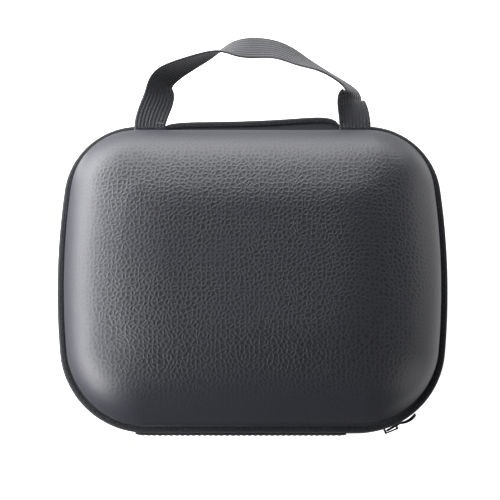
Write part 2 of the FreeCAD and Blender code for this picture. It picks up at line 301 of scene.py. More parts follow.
def piece(name, points, material, faces=None, loops=(False, False), capped=False, pole=False, about=None,
          inward=False, attribute=None):
    """A mesh object from a grid of points, rows by columns, or from loose points and faces.

    A capped piece has a fan on its first and last row, a pole is a fan inside its last column. The faces
    are turned to point away from the point about, or from the piece's own middle. The map called metres
    holds each corner's real distances along the rows and the columns.
    """
    triangles = np.zeros((0, 3), int)
    uv = None
    if faces is None:
        rows, columns = points.shape[:2]
        faces, flat = grid_faces(rows, columns, *loops)
        u, v = measured(points, 0, loops[0]), measured(points, 1, loops[1])
        u, v = [np.append(d, d[-1]) if not loop else d for d, loop in zip((u, v), loops)]
        spread = np.dstack(np.meshgrid(u, v, indexing="ij")).reshape(-1, 2)
        uv = spread[flat]
        numbers = np.arange(rows * columns).reshape(rows, columns)
        vertices = points.reshape(-1, 3)
        if capped:
            middles = points[[0, -1]].mean(1)
            triangles = np.vstack([end_fan(numbers[0][::-1], len(vertices)),
                                   end_fan(numbers[-1], len(vertices) + 1)])
            vertices = np.vstack([vertices, middles])
        if pole:
            triangles = end_fan(numbers[::-1, -1], len(vertices))
            vertices = np.vstack([vertices, points[:, -1].mean(0)])
    else:
        vertices = points.reshape(-1, 3)
    middle = vertices.mean(0) if about is None else np.array(about)
    volume = signed_volume(vertices, faces[:, :3], middle)
    volume += signed_volume(vertices, faces[:, [0, 2, 3]], middle) if faces.shape[1] == 4 else 0.0
    if (volume < 0) != inward:
        faces, triangles = faces[:, ::-1], triangles[:, ::-1]
        uv = None if uv is None else uv[:, ::-1]
    joined = faces.tolist() + triangles.tolist()
    mesh = bpy.data.meshes.new(name)
    mesh.from_pydata(vertices.tolist(), [], joined)
    mesh.polygons.foreach_set("use_smooth", np.full(len(joined), True))
    if uv is not None:
        corners = np.vstack([uv.reshape(-1, 2), np.zeros((3 * len(triangles), 2))])
        mesh.uv_layers.new(name="metres").data.foreach_set("uv", corners.astype(np.float32).ravel())
    if attribute is not None:
        label, values = attribute
        values = np.append(values.ravel(), [values[:, -1].mean()] * (len(vertices) - values.size))
        mesh.attributes.new(label, "FLOAT", "POINT").data.foreach_set("value", values.astype(np.float32))
    mesh.materials.append(material)
    mesh.update()
    made = bpy.data.objects.new(name, mesh)
    bpy.context.scene.collection.objects.link(made)
    return made


def copies(points, faces, origins, axes):
    """One small shape many times over: each copy's points are turned by its axes and moved to its origin."""
    placed = np.einsum("kj,njd->nkd", points, axes) + origins[:, None, :]
    numbers = faces[None] + (np.arange(len(origins)) * len(points))[:, None, None]
    return placed.reshape(-1, 3), numbers.reshape(-1, faces.shape[1])


def stitch(span, thick):
    """One stitch along x: a circle whose radius falls to nothing at both ends, as rings of six points."""
    share = np.linspace(-1, 1, 7)
    radius = thick / 2 * np.sqrt(np.maximum(0.02, 1 - share ** 4))
    angle = np.linspace(0, 2 * half_turn, 6, endpoint=False)
    x = np.repeat(share * span / 2, 6)
    y = (radius[:, None] * np.cos(angle)).ravel()
    z = (radius[:, None] * np.sin(angle)).ravel() - np.repeat(0.25 * thick * share ** 4, 6)
    faces, _ = grid_faces(7, 6, False, True)
    return np.stack([x, y, z], 1), faces


def sewn_line(name, middles, directions, normals, context):
    """Stitches at given middles, lying along their directions on a surface with the given normals."""
    _, cloth, colours = settings(context)
    template, faces = stitch(cloth.stitch_length, cloth.thread)
    axes = np.stack([directions, np.cross(normals, directions), normals], 1)
    points, faces = copies(template, faces, middles, axes)
    return piece(name, points, sewing_thread(colours), faces=faces)


def level(directions):
    """The directions along the outline, in three dimensions, from its outward directions."""
    return np.column_stack([-directions[:, 1], directions[:, 0], np.zeros(len(directions))])


def modifier(made, kind, **settings):
    added = made.modifiers.new(kind.lower(), kind)
    for name, value in settings.items():
        setattr(added, name, value)
    return added


def softened_copy(name, node, material, edge, angle=35):
    """A merged copy of a solid part with rounded edges, for shapes cut from a block or a casting."""
    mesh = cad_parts[node].data.copy()
    mesh.name = name
    mesh.materials.clear()
    mesh.materials.append(material)
    work = bmesh.new()
    work.from_mesh(mesh)
    bmesh.ops.remove_doubles(work, verts=work.verts, dist=1e-6)
    bmesh.ops.dissolve_limit(work, angle_limit=math.radians(0.6), verts=work.verts, edges=work.edges)
    for edge_line in work.edges:
        joined = len(edge_line.link_faces) == 2
        edge_line.smooth = joined and edge_line.calc_face_angle(0) < math.radians(angle)
    for face in work.faces:
        face.smooth = True
    work.to_mesh(mesh)
    work.free()
    made = bpy.data.objects.new(name, mesh)
    bpy.context.scene.collection.objects.link(made)
    modifier(made, "BEVEL", width=edge, segments=3, limit_method="ANGLE", angle_limit=math.radians(angle))
    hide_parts(node)
    return made


# ---------------------------------------------------------------- finishes

def add(tree, kind, links=None, **settings):
    """Adds a node, sets what it is told, and fills its sockets with values or with links."""
    node = tree.nodes.new(kind)
    for name, value in settings.items():
        setattr(node, name, value)
    for socket, value in (links or {}).items():
        if isinstance(value, bpy.types.NodeSocket):
            tree.links.new(value, node.inputs[socket])
        else:
            node.inputs[socket].default_value = value
    return node


def finish(name, **shader_values):
    """An empty material of that name with its shader: returns the material, its tree and the shader."""
    material = bpy.data.materials.new(name)
    material.use_nodes = True
    tree = material.node_tree
    tree.nodes.clear()
    shader = add(tree, "ShaderNodeBsdfPrincipled", {key.replace("_", " "): value
                                                   for key, value in shader_values.items()})
    add(tree, "ShaderNodeOutputMaterial", {"Surface": shader.outputs[0]})
    return material, tree, shader


def mapped(tree, value, low_from, high_from, low_to, high_to, smooth=True):
    node = add(tree, "ShaderNodeMapRange",
               {"Value": value, "From Min": low_from, "From Max": high_from, "To Min": low_to,
                "To Max": high_to}, interpolation_type="SMOOTHSTEP" if smooth else "LINEAR")
    return node.outputs[0]


def maths(tree, operation, first, second=0.0):
    return add(tree, "ShaderNodeMath", {0: first, 1: second}, operation=operation).outputs[0]


def blended(tree, share, first, second):
    node = add(tree, "ShaderNodeMix", {0: share, 6: first, 7: second}, data_type="RGBA")
    return node.outputs[2]


def rgba(value, strength=1.0):
    """A setting's colour with an opacity of 1, made darker or lighter by a factor."""
    return [min(1.0, channel * strength) for channel in value] + [1.0]


def texture(tree, kind, place, size, **settings):
    """A noise or a Voronoi texture whose features are of a real size in metres: returns its node."""
    sockets = {name: settings.pop(name) for name in ("Detail", "Randomness") if name in settings}
    return add(tree, "ShaderNodeTex" + kind, {"Vector": place, "Scale": 1 / size, **sockets}, **settings)


def surfaced(tree, shader, base, height=None, strength=1.0, depth=0.0):
    """Joins a colour, and a height of a real depth in metres, to a finish's shader."""
    tree.links.new(base, shader.inputs["Base Color"])
    if height is not None:
        bump = add(tree, "ShaderNodeBump", {"Strength": strength, "Distance": depth, "Height": height})
        tree.links.new(bump.outputs[0], shader.inputs["Normal"])


def made_once(builder):
    """Keeps each finish, so that pieces of one cloth share one material."""
    kept = {}

    def give(colours):
        if "made" not in kept:
            kept["made"] = builder(colours)
        return kept["made"]
    return give


@made_once
def leathercloth(colours):
    """PU leathercloth, embossed with a pebble grain and pressed hot over the shell.

    Pits about 2.8 mm apart between rounded ridges, all broken up by 0.6 mm pores. Where the cloth was
    stretched over the walls the grain is pulled nearly smooth. It gives the eye a satin sheen, with a net
    of lighter ridges round dark pits on the crown and one soft broad highlight on each wall. The pits'
    darkness is partly painted shade: their colour is blended towards a darker one as they deepen.
    """
    material, tree, shader = finish("embossed PU leathercloth", IOR=1.5)
    place = add(tree, "ShaderNodeTexCoord").outputs["Object"]
    drift = texture(tree, "Noise", place, 0.005, Detail=2.0)
    pushed = add(tree, "ShaderNodeVectorMath", {0: drift.outputs["Color"], 1: (0.0024, 0.0024, 0.0)},
                 operation="MULTIPLY").outputs[0]
    moved = add(tree, "ShaderNodeVectorMath", {0: place, 1: pushed}, operation="ADD").outputs[0]
    cell = texture(tree, "Voronoi", moved, 0.0028, Randomness=0.85, voronoi_dimensions="2D",
                   feature="DISTANCE_TO_EDGE").outputs["Distance"]
    pit = mapped(tree, cell, 0.03, 0.34, 0.0, 1.0)
    pore = texture(tree, "Noise", place, 0.0006, Detail=2.0).outputs["Fac"]
    height = maths(tree, "MULTIPLY_ADD", pore, 0.15)
    tree.links.new(maths(tree, "SUBTRACT", 1.0, pit), height.node.inputs[2])
    pulled = add(tree, "ShaderNodeAttribute", attribute_name="grain").outputs["Fac"]
    patch = texture(tree, "Noise", place, 0.04, Detail=2.0).outputs["Fac"]
    strength = maths(tree, "MULTIPLY", pulled, mapped(tree, patch, 0.3, 0.7, 0.65, 1.0))
    # depth makes the pits rougher, and as painted shade it also blends their colour towards the darker pit
    # colour
    depth = maths(tree, "MULTIPLY", pit, strength)
    tree.links.new(mapped(tree, depth, 0.0, 1.0, 0.46, 0.62, smooth=False), shader.inputs["Roughness"])
    surfaced(tree, shader, blended(tree, depth, rgba(colours.leather), rgba(colours.painted_pit_shade)), height,
             strength, 0.0002)
    return material


def woven(name, base, pitch, depth, roughness, sheen, twill=0.0):
    """Cloth from threads at a real pitch in metres along both ways of the piece's own map, crossing over
    and under like a chessboard. A twill leans its rows. It gives the eye fine regular flecks and a weak
    sheen at the edges."""
    material, tree, shader = finish(name, Roughness=roughness, Sheen_Weight=sheen, Sheen_Roughness=0.5,
                                    Specular_IOR_Level=0.3)
    flat = add(tree, "ShaderNodeUVMap", uv_map="metres").outputs[0]
    parts = add(tree, "ShaderNodeSeparateXYZ", {0: flat})
    lean = add(tree, "ShaderNodeMath", {0: parts.outputs[1], 1: twill, 2: parts.outputs[0]},
               operation="MULTIPLY_ADD").outputs[0]
    waves = [maths(tree, "SINE", maths(tree, "MULTIPLY", value, half_turn / pitch))
             for value in (lean, parts.outputs[1])]
    crossing = maths(tree, "MULTIPLY", *waves)
    grain = texture(tree, "Noise", flat, 4 * pitch, Detail=3.0)
    height = maths(tree, "MULTIPLY_ADD", grain.outputs["Fac"], 0.5)
    tree.links.new(crossing, height.node.inputs[2])
    shade = mapped(tree, height, -0.8, 1.2, 0.0, 1.0)
    surfaced(tree, shader, blended(tree, shade, rgba(base, 0.55), rgba(base, 1.35)), height, 0.9, depth)
    return material


@made_once
def binding_tape(colours):
    """Woven polyester binding tape: 0.5 mm threads, matt with a faint sheen."""
    return woven("woven polyester binding tape", colours.binding, 0.0005, 0.00008, 0.72, 0.25)


@made_once
def hinge_cloth(colours):
    """Ribbed polyester hinge cloth: 0.7 mm twill, matt."""
    return woven("polyester twill hinge cloth", colours.hinge, 0.0007, 0.0001, 0.75, 0.2, twill=0.6)


@made_once
def zip_cloth(colours):
    """Woven zip tape: 0.4 mm threads in a herringbone lean, matt."""
    return woven("woven polyester zip tape", colours.hinge, 0.0004, 0.00006, 0.8, 0.15, twill=1.0)


@made_once
def polypropylene_webbing(colours):
    """Polypropylene webbing: flat glossy yarns 0.9 mm long that pass over and under along the ribs, so the
    strap keeps a silky sheen along its length."""
    return woven("polypropylene webbing", colours.webbing, 0.0009, 0.00012, 0.55, 0.35, twill=0.5)


@made_once
def elastic_hem(colours):
    """Knitted elastic: 0.8 mm ribs across the band, matt."""
    return woven("knitted elastic", colours.binding, 0.0008, 0.00012, 0.8, 0.3)


@made_once
def knitted_lining(colours):
    """Brushed tricot lining: 0.9 mm knit, soft and matt with a clear sheen at the edges."""
    return woven("brushed tricot lining", colours.lining, 0.0009, 0.0001, 0.85, 0.5)


@made_once
def sewing_thread(colours):
    """Twisted polyester thread: a fine twist with a soft gloss."""
    material, tree, shader = finish("twisted polyester thread", Roughness=0.5, Specular_IOR_Level=0.4)
    place = add(tree, "ShaderNodeTexCoord").outputs["Object"]
    fibre = texture(tree, "Noise", place, 0.0005, Detail=2.0).outputs["Fac"]
    surfaced(tree, shader, blended(tree, fibre, rgba(colours.thread, 0.6), rgba(colours.thread)), fibre,
             0.6, 0.00005)
    return material


@made_once
def coated_zinc(colours):
    """Die-cast zinc under a black electro-coating: smooth and glossy, with a few duller rubbed patches."""
    material, tree, shader = finish("black electro-coated zinc", Metallic=0.75)
    place = add(tree, "ShaderNodeTexCoord").outputs["Object"]
    rubbed = texture(tree, "Noise", place, 0.0025, Detail=3.0).outputs["Fac"]
    share = mapped(tree, rubbed, 0.5, 0.8, 0.0, 1.0)
    tree.links.new(mapped(tree, rubbed, 0.2, 0.8, 0.22, 0.42), shader.inputs["Roughness"])
    surfaced(tree, shader, blended(tree, share, rgba(colours.metal), rgba(colours.metal, 2.2)), rubbed,
             0.3, 0.00004)
    return material


@made_once
def nylon_coil(colours):
    """Drawn nylon wire: smooth, dark, slightly glossy."""
    material, tree, shader = finish("dyed nylon coil", Roughness=0.35, IOR=1.53)
    place = add(tree, "ShaderNodeTexCoord").outputs["Object"]
    cloudy = texture(tree, "Noise", place, 0.002, Detail=2.0).outputs["Fac"]
    surfaced(tree, shader, blended(tree, cloudy, rgba(colours.coil), rgba(colours.coil, 1.6)))
    return material


def cellular(name, base, cell, depth, roughness):
    """Foam with cut or pressed cells at a real size in metres. It gives the eye a matt, finely pitted
    face without highlights."""
    material, tree, shader = finish(name, Roughness=roughness, Sheen_Weight=0.3, Specular_IOR_Level=0.25)
    place = add(tree, "ShaderNodeTexCoord").outputs["Object"]
    holes = texture(tree, "Voronoi", place, cell).outputs["Distance"]
    cloud = texture(tree, "Noise", place, 0.02, Detail=2.0).outputs["Fac"]
    shade = maths(tree, "MULTIPLY", mapped(tree, holes, 0.1, 0.6, 0.5, 1.0), cloud)
    surfaced(tree, shader, blended(tree, shade, rgba(base, 0.5), rgba(base, 1.6)), holes, 0.8, depth)
    return material


@made_once
def soft_foam(colours):
    """Open-celled polyurethane foam, its 0.8 mm cells drawn a little coarser so that they show."""
    return cellular("die-cut polyurethane foam", colours.foam, 0.0011, 0.0002, 0.95)


@made_once
def pressed_foam(colours):
    """Closed-cell EVA foam with its pressed skin: fine 0.6 mm cells, matt."""
    return cellular("pressed EVA foam", colours.lining, 0.0006, 0.00006, 0.8)


@made_once
def pocket_netting(colours):
    """Knitted polyester net: round holes 2.4 mm apart in staggered rows, open where there's no thread. It
    gives the eye a see-through dark mesh."""
    material, tree, shader = finish("knitted polyester net", Roughness=0.7, Sheen_Weight=0.2)
    flat = add(tree, "ShaderNodeUVMap", uv_map="metres").outputs[0]
    holes = texture(tree, "Voronoi", flat, 0.0024, Randomness=0.12, voronoi_dimensions="2D",
                    feature="DISTANCE_TO_EDGE").outputs["Distance"]
    tree.links.new(mapped(tree, holes, 0.16, 0.22, 1.0, 0.0), shader.inputs["Alpha"])
    fibre = texture(tree, "Noise", flat, 0.0006, Detail=2.0).outputs["Fac"]
    surfaced(tree, shader, blended(tree, fibre, rgba(colours.binding, 0.6), rgba(colours.thread)))
    return material


# ---------------------------------------------------------------- pieces

def settings(context):
    """The shape, the cloth sizes and the colours that the panel sets."""
    return context.scene.case_shape, context.scene.case_cloth, context.scene.case_colours


def half_name(side):
    """What one half's pieces start with, and the body they ride on."""
    return ("front", "lid") if side == front else ("rear", "base")


def rounded_loops(grid, widths):
    """Closed rows of points, each evened out along itself over a width in stations, which rounds the
    corners and leaves straight runs alone: a bell-shaped average, done on the rows' frequencies."""
    frequency = np.fft.rfftfreq(len(grid))[:, None]
    bell = np.exp(-2 * (half_turn * frequency * widths[None, :]) ** 2)[:, :, None]
    return np.fft.irfft(np.fft.rfft(grid, axis=0) * bell, n=len(grid), axis=0)


# from where, inwards from the wall, the crown's corners grow rounder and the grain comes up, and over what
# distances; and how much of the grain is left on the walls
rounding_ramp, grain_ramp, wall_grain = (0.010, 0.028), (0.006, 0.032), 0.15


def shell_surface(shape, side, inset, flange, rise=0.0):
    """One face of a shell half: a profile from the flange's edge up the wall and over the crown, carried
    round the outline, then shrunk evenly to the middle of the crown.

    The wall is straight. Without a rise, the crown's edge is a quarter circle whose centre stays one crown
    radius inside the outline whatever the inset, and the crown is flat. With a rise, the edge is a quarter
    of an ellipse, taller by the rise and reaching further in, and the rows' corners grow rounder towards
    the crown, so that it is gently domed. flange is the list of outsets and heights from the edge to the
    wall. Returns the grid and how much of the grain shows at each point: all on the crown, little on the
    wall.
    """
    radius = shape.crown_radius
    spring = shell_depth - radius
    reach = radius - inset + shape.crown_spread * (rise > 0)

    def height(travelled):
        share = np.clip(1 - np.asarray(travelled) / reach, 0, 1)
        return spring + (radius - inset + rise) * np.sqrt(1 - share ** 2)

    outsets, heights = [np.array(values) for values in flange]
    wall = steps_between(heights[-1] + 0.0006, spring, 5)
    travelled = (radius - inset) * (1 - np.cos(np.linspace(0, half_turn / 2, 30)))
    outsets = np.concatenate([outsets, np.full(len(wall), -inset), -inset - travelled])
    heights = np.concatenate([heights, wall, height(travelled)])
    grid = along_outline(stations(shape), outsets, seam_z + side * (flange_z + heights),
                         bpy.context.scene.case_cloth)
    shrink = np.concatenate([np.linspace(1, 0.5, 19)[1:], np.linspace(0.5, 0.03, 13)[1:]])
    crown = grid[:, -1:, :] * np.array([1, 1, 0]) * shrink[None, :, None]
    half_crown = np.abs(grid[:, -1, :2]).max(0).mean()
    inner = radius - inset + half_crown * (1 - shrink)
    crown[:, :, 2] = seam_z + side * (flange_z + height(inner))
    grid = np.concatenate([grid, crown], 1)
    inwards = np.concatenate([np.zeros(len(outsets) - len(travelled)), travelled, inner])
    if rise:
        widths = shape.crown_rounding * eased(inwards, *rounding_ramp)
        grid[:, :, :2] = rounded_loops(grid[:, :, :2], widths)
    shown = wall_grain + (1 - wall_grain) * eased(inwards, *grain_ramp)
    return grid, np.broadcast_to(shown, grid.shape[:2])


def cover_skin(context, side):
    """The leathercloth skin of one half, with a fillet at its root and a low dome on the lid's crown."""
    shape, _, colours = settings(context)
    name, body = half_name(side)
    root = shape.root_radius
    fillet = arc((root, 0.0025 + root), root, 270, 180, 6)
    flange = (np.concatenate([steps_between(shape.flange_reach - 0.0002, root, 5), fillet[0]]),
              np.concatenate([np.full(5, 0.0025), fillet[1]]))
    grid, shown = shell_surface(shape, side, 0.0, flange, shape.crown_rise if side == front else 0.0)
    made = piece(name + "_cover_skin", grid, leathercloth(colours), loops=(True, False), pole=True,
                 about=(0, 0, seam_z), attribute=("grain", shown))
    modifier(made, "SOLIDIFY", thickness=0.0009, offset=-1)
    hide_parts(name + "_cover")
    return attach(made, body)


def lining_skin(context, side):
    """The lining of one half: over the flange's seam face, round the mouth's edge and down to the crown."""
    shape, _, colours = settings(context)
    name, body = half_name(side)
    inset, roll = shape.lining_inset, 0.0008
    mouth = arc((-inset + roll, -0.0003 + roll), roll, 270, 180, 6)
    flange = (np.concatenate([steps_between(0.0026, -inset + roll, 6), mouth[0]]),
              np.concatenate([np.full(6, -0.0003), mouth[1]]))
    grid, _ = shell_surface(shape, side, inset, flange, shape.crown_rise if side == front else 0.0)
    made = piece(name + "_lining_cloth", grid, knitted_lining(colours), loops=(True, False), pole=True,
                 about=(0, 0, seam_z), inward=True)
    modifier(made, "SOLIDIFY", thickness=0.0003, offset=-1)
    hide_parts(name + "_lining")
    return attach(made, body)


def lid_core(context):
    """The lid's pressed foam shell between its skin and its lining, domed as they are."""
    shape, _, colours = settings(context)
    flange = (steps_between(shape.flange_reach - 0.0002, 0.0, 5), np.full(5, 0.0014))
    grid, _ = shell_surface(shape, front, 0.001, flange, shape.crown_rise)
    made = piece("front_foam_core", grid, pressed_foam(colours), loops=(True, False), pole=True,
                 about=(0, 0, seam_z))
    modifier(made, "SOLIDIFY", thickness=0.0035, offset=-1)
    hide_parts("front_shell")
    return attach(made, "lid")


# the binding's section as outsets and heights above the flange plane, in millimetres, anticlockwise
binding_section = np.array([
    (2.0, 2.55), (2.0, 2.9), (2.25, 3.2), (2.7, 3.28), (3.15, 3.22), (3.6, 3.42), (4.2, 3.5), (4.9, 3.38),
    (5.4, 3.05), (5.72, 2.5), (5.8, 1.9), (5.8, 1.0), (5.78, 0.3), (5.65, -0.3), (5.3, -0.68), (4.7, -0.82),
    (4.1, -0.82), (3.65, -0.72), (3.6, -0.35), (3.7, -0.08), (4.4, -0.02), (4.95, 0.1), (5.05, 0.9),
    (5.05, 1.9), (4.9, 2.48), (4.0, 2.56), (3.0, 2.55),
]).T / 1000


def binding(context, side):
    """The tape folded round the flange's edge: its rounded section carried round the outline."""
    shape, cloth, colours = settings(context)
    name, body = half_name(side)
    outsets, heights = binding_section
    grid = along_outline(stations(shape), outsets, seam_z + side * (flange_z + heights), cloth)
    made = piece(name + "_binding_tape", grid, binding_tape(colours), loops=(True, True))
    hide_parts(name + "_binding")
    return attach(made, body)


def binding_stitches(context, side):
    """A row of stitches in the binding's hollow, evenly spaced along the outline."""
    shape, cloth, _ = settings(context)
    name, body = half_name(side)
    whole = outline(shape)[3]
    number = round(whole / cloth.stitch_pitch)
    spots, out = spots_at(shape, np.arange(number) * whole / number)
    reach = 0.00315 + swell(spots, out, cloth)
    middles = np.column_stack([spots + out * reach[:, None],
                               np.full(number, seam_z + side * (flange_z + 0.00325))])
    up = np.tile([0.0, 0.0, float(side)], (number, 1))
    made = sewn_line(name + "_binding_stitches", middles, level(out), up, context)
    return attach(made, body)


# how far out the zip's tapes and coils stand, from the shell's outline to their middles; then the tape's
# thickness and how near to the seam it ends, and the coil's half width, middle height and half height
zip_outset = 0.0031
zip_tape_wall, zip_tape_foot = 0.0008, 0.0022
coil_half_width, coil_middle, coil_half_height = 0.0011, 0.00128, 0.00092


def zip_stretch(shape, side, cloth):
    """The stretch of the outline that one half's zip takes, from the slider round to the left of the
    hinge. The lid's starts further on, past the slider."""
    start_x = cloth.lid_zip_start if side == front else high("rear_spine").x
    end = hinge_side(shape, low("rear_spine").x, zip_outset) + outline(shape)[3]
    return hinge_side(shape, start_x, zip_outset), end


def zip_half_tape(context, side):
    """The zip's tape on one half: a flat strip between the coil and the flange, standing on the seam."""
    shape, cloth, colours = settings(context)
    name, body = half_name(side)
    section = rounded_box(zip_tape_wall, flange_z - zip_tape_foot, 0.0003)
    grid = along_outline(stations(shape, *zip_stretch(shape, side, cloth)), zip_outset + section[0],
                         seam_z + side * ((flange_z + zip_tape_foot) / 2 + section[1]), cloth)
    made = piece(name + "_zip_cloth", grid, zip_cloth(colours), loops=(False, True), capped=True)
    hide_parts(name + "_zip_tape")
    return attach(made, body)


def zip_half_coil(context, side):
    """The zip's coil on one half: a round wire carried along a flattened helix, which turns once for each
    pitch of distance and lies on the tape's edge. The lid's turns are half a pitch further on."""
    shape, cloth, colours = settings(context)
    name, body = half_name(side)
    first, last = zip_stretch(shape, side, cloth)
    first, last = first + 0.001, last - 0.0028
    turns = int((last - first) / cloth.coil_pitch)
    share = np.arange(turns * 9 + 1) / 9
    spots, out = spots_at(shape, first + share * cloth.coil_pitch)
    angle = 2 * half_turn * share + (half_turn if side == front else 0)
    wire = cloth.coil_wire / 2
    reach = zip_outset + swell(spots, out, cloth) + (coil_half_width - wire) * np.cos(angle)
    rise = coil_middle + (coil_half_height - wire) * np.sin(angle)
    line = np.column_stack([spots + out * reach[:, None], seam_z + side * rise])
    way = np.gradient(line, axis=0)
    way /= np.linalg.norm(way, axis=1)[:, None]
    aside = np.cross(way, level(out))
    aside /= np.linalg.norm(aside, axis=1)[:, None]
    around = np.linspace(0, 2 * half_turn, 5, endpoint=False)[None, :, None]
    grid = line[:, None, :] + wire * (np.cos(around) * aside[:, None, :]
                                      + np.sin(around) * np.cross(way, aside)[:, None, :])
    made = piece(name + "_zip_teeth", grid, nylon_coil(colours), loops=(False, True), capped=True)
    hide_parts(name + "_zip_coil")
    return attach(made, body)


def folding_strip(context, name, nodes, outset, thick, half_tall, x_range, material):
    """A strip of cloth across the seam on the hinge's side: a flat section with round edges and many
    points up its height, carried along the outline."""
    shape = settings(context)[0]
    first, last = [hinge_side(shape, x, outset) for x in x_range]
    up = np.linspace(-1, 1, 57) * (half_tall - thick / 2)
    cap = np.radians(np.linspace(0, 180, 7))[1:-1]
    outer = np.column_stack([np.full(len(up), thick / 2), up])
    top = np.column_stack([thick / 2 * np.cos(cap), up[-1] + thick / 2 * np.sin(cap)])
    section = np.vstack([outer, top, -outer, -top])
    grid = along_outline(stations(shape, first, last), outset + section[:, 0], seam_z + section[:, 1])
    made = piece(name, grid, material, loops=(False, True), capped=True)
    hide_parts(*nodes)
    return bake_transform(made)


def hinge(context):
    """The hinge cloth outside the bindings, the spine cloth behind the seam, and the hinge's stitches."""
    shape, cloth, colours = settings(context)
    reach = shape.flange_reach + 0.0008
    ends = (low("front_hinge_leaf").x, high("front_hinge_leaf").x)
    folding_strip(context, "hinge_cloth_strip", ("front_hinge_leaf", "rear_hinge_leaf"), reach + 0.0006,
                  0.0011, 0.010, ends, hinge_cloth(colours))
    folding_strip(context, "spine_cloth_strip", ("front_spine", "rear_spine"), zip_outset, 0.0008, flange_z,
                  (low("front_spine").x, high("front_spine").x), hinge_cloth(colours))
    first, last = [hinge_side(shape, x, reach) for x in (ends[0] + 0.003, ends[1] - 0.003)]
    number = round((last - first) / cloth.stitch_pitch)
    spots, out = spots_at(shape, np.linspace(first, last, number))
    for side in (front, rear):
        name, body = half_name(side)
        middles = np.column_stack([spots + out * (reach + 0.0012), np.full(number, seam_z + side * 0.0085)])
        made = sewn_line(name + "_hinge_stitches", middles, level(out),
                         np.column_stack([out, np.zeros(number)]), context)
        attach(made, body)


def spline(points, spots):
    """A smooth curve through points, cubic between them and straight at its ends, spaced by the distances
    between them. Returns places and directions at shares of its whole."""
    knots = np.concatenate([[0.0], np.cumsum(np.linalg.norm(np.diff(points, axis=0), axis=1))])
    gaps = np.diff(knots)
    number = len(points)
    system = np.zeros((number, number))
    system[0, 0] = system[-1, -1] = 1
    inner = np.arange(1, number - 1)
    system[inner, inner - 1], system[inner, inner + 1] = gaps[:-1], gaps[1:]
    system[inner, inner] = 2 * (gaps[:-1] + gaps[1:])
    slopes = np.diff(points, axis=0) / gaps[:, None]
    right = np.zeros_like(points)
    right[1:-1] = 6 * np.diff(slopes, axis=0)
    curve = np.linalg.solve(system, right)
    wanted = spots * knots[-1]
    cell = np.clip(np.searchsorted(knots, wanted, side="right") - 1, 0, number - 2)
    step, gap = (wanted - knots[cell])[:, None], gaps[cell][:, None]
    a, b = curve[cell], curve[cell + 1]
    first = slopes[cell] - gap * (2 * a + b) / 6
    places = points[cell] + first * step + a * step ** 2 / 2 + (b - a) * step ** 3 / (6 * gap)
    ways = first + a * step + (b - a) * step ** 2 / (2 * gap)
    return places, ways


# the handle's route as shares of half its spread and of its reach, with the strap's turn in degrees
handle_route = np.array([
    (-1.00, 0.00, 0), (-0.985, 0.08, 2), (-0.93, 0.28, 12), (-0.905, 0.44, 30), (-0.84, 0.62, 58),
    (-0.66, 0.76, 76), (-0.46, 0.88, 90), (-0.26, 0.972, 119), (0.025, 1.00, 148), (0.19, 0.986, 143),
    (0.466, 0.838, 128), (0.76, 0.645, 110), (0.90, 0.52, 112), (0.96, 0.32, 146), (0.99, 0.12, 174),
    (1.00, 0.00, 180),
])
handle_reach = 0.0495
tail_points = 17


def handle(context):
    """The handle as one strap: a ribbed section carried up one leg, over and down the other, turning half
    round once on its way, with both sewn ends flat on the lid's binding. The section's height is a row
    of rounded ribs, and thins out at the edges."""
    _, cloth, colours = settings(context)
    left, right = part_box("handle_tail_left"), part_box("handle_tail_right")
    spread = (right[0].x + right[1].x - left[0].x - left[1].x) / 2
    start_y, z = low("handle_webbing").y, (left[0].z + left[1].z) / 2
    reach, wide, thick = handle_reach, left[1].x - left[0].x, left[1].z - left[0].z
    route = handle_route * [spread / 2 * 1000, reach * 1000, 1]
    places, ways = spline(route, np.linspace(0, 1, 261))
    angle = np.arctan2(ways[:, 1], ways[:, 0])
    angle[[0, -1]] = half_turn / 2, -half_turn / 2
    turn = np.radians(places[:, 2])
    line = np.column_stack([places[:, :2] / 1000, np.full(len(places), z)]) + [0, start_y, 0]
    tail = steps_between(left[0].y, start_y, tail_points)
    ones = np.ones(tail_points)
    line = np.vstack([np.column_stack([-spread / 2 * ones, tail, z * ones]), line,
                      np.column_stack([spread / 2 * ones, tail[::-1], z * ones])])
    angle = np.concatenate([half_turn / 2 * ones, angle, -half_turn / 2 * ones])
    turn = np.concatenate([0 * ones, turn, half_turn * ones])
    flat = np.column_stack([-np.sin(angle), np.cos(angle), np.zeros(len(angle))])
    up = np.array([0.0, 0.0, 1.0])
    across = flat * np.cos(turn)[:, None] + up * np.sin(turn)[:, None]
    through = flat * np.sin(turn)[:, None] - up * np.cos(turn)[:, None]
    share = np.linspace(-1, 1, cloth.rib_count * 8 + 1)
    rib = np.abs(np.cos(half_turn * cloth.rib_count * (share + 1) / 2 + half_turn / 2)) ** 0.7
    edge = np.sqrt(np.maximum(0, 1 - np.abs(share) ** 24))
    height = (thick / 2 - cloth.rib_depth * (1 - rib)) * edge
    section = np.column_stack([np.concatenate([share, share[-2:0:-1]]) * wide / 2,
                               np.concatenate([height, -height[-2:0:-1]])])
    grid = (line[:, None, :] + section[None, :, :1] * across[:, None, :]
            + section[None, :, 1:] * through[:, None, :])
    made = piece("handle_strap", grid, polypropylene_webbing(colours), loops=(False, True), capped=True)
    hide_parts("handle_webbing", "handle_tail_left", "handle_tail_right")
    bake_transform(made)
    rows = np.array([0.0010, 0.0022, 0.0034])
    for ends, name in ((left, "handle_bar_tack_left"), (right, "handle_bar_tack_right")):
        x = np.linspace(ends[0].x + 0.0016, ends[1].x - 0.0016, 12)
        middles = np.array(np.meshgrid(x, ends[0].y + rows)).reshape(2, -1).T
        middles = np.column_stack([middles, np.full(len(middles), ends[1].z)])
        way = np.tile([math.cos(0.5), math.sin(0.5), 0.0], (len(middles), 1))
        tack = sewn_line(name, middles, way, np.tile(up, (len(middles), 1)), context)
        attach(tack, "lid")


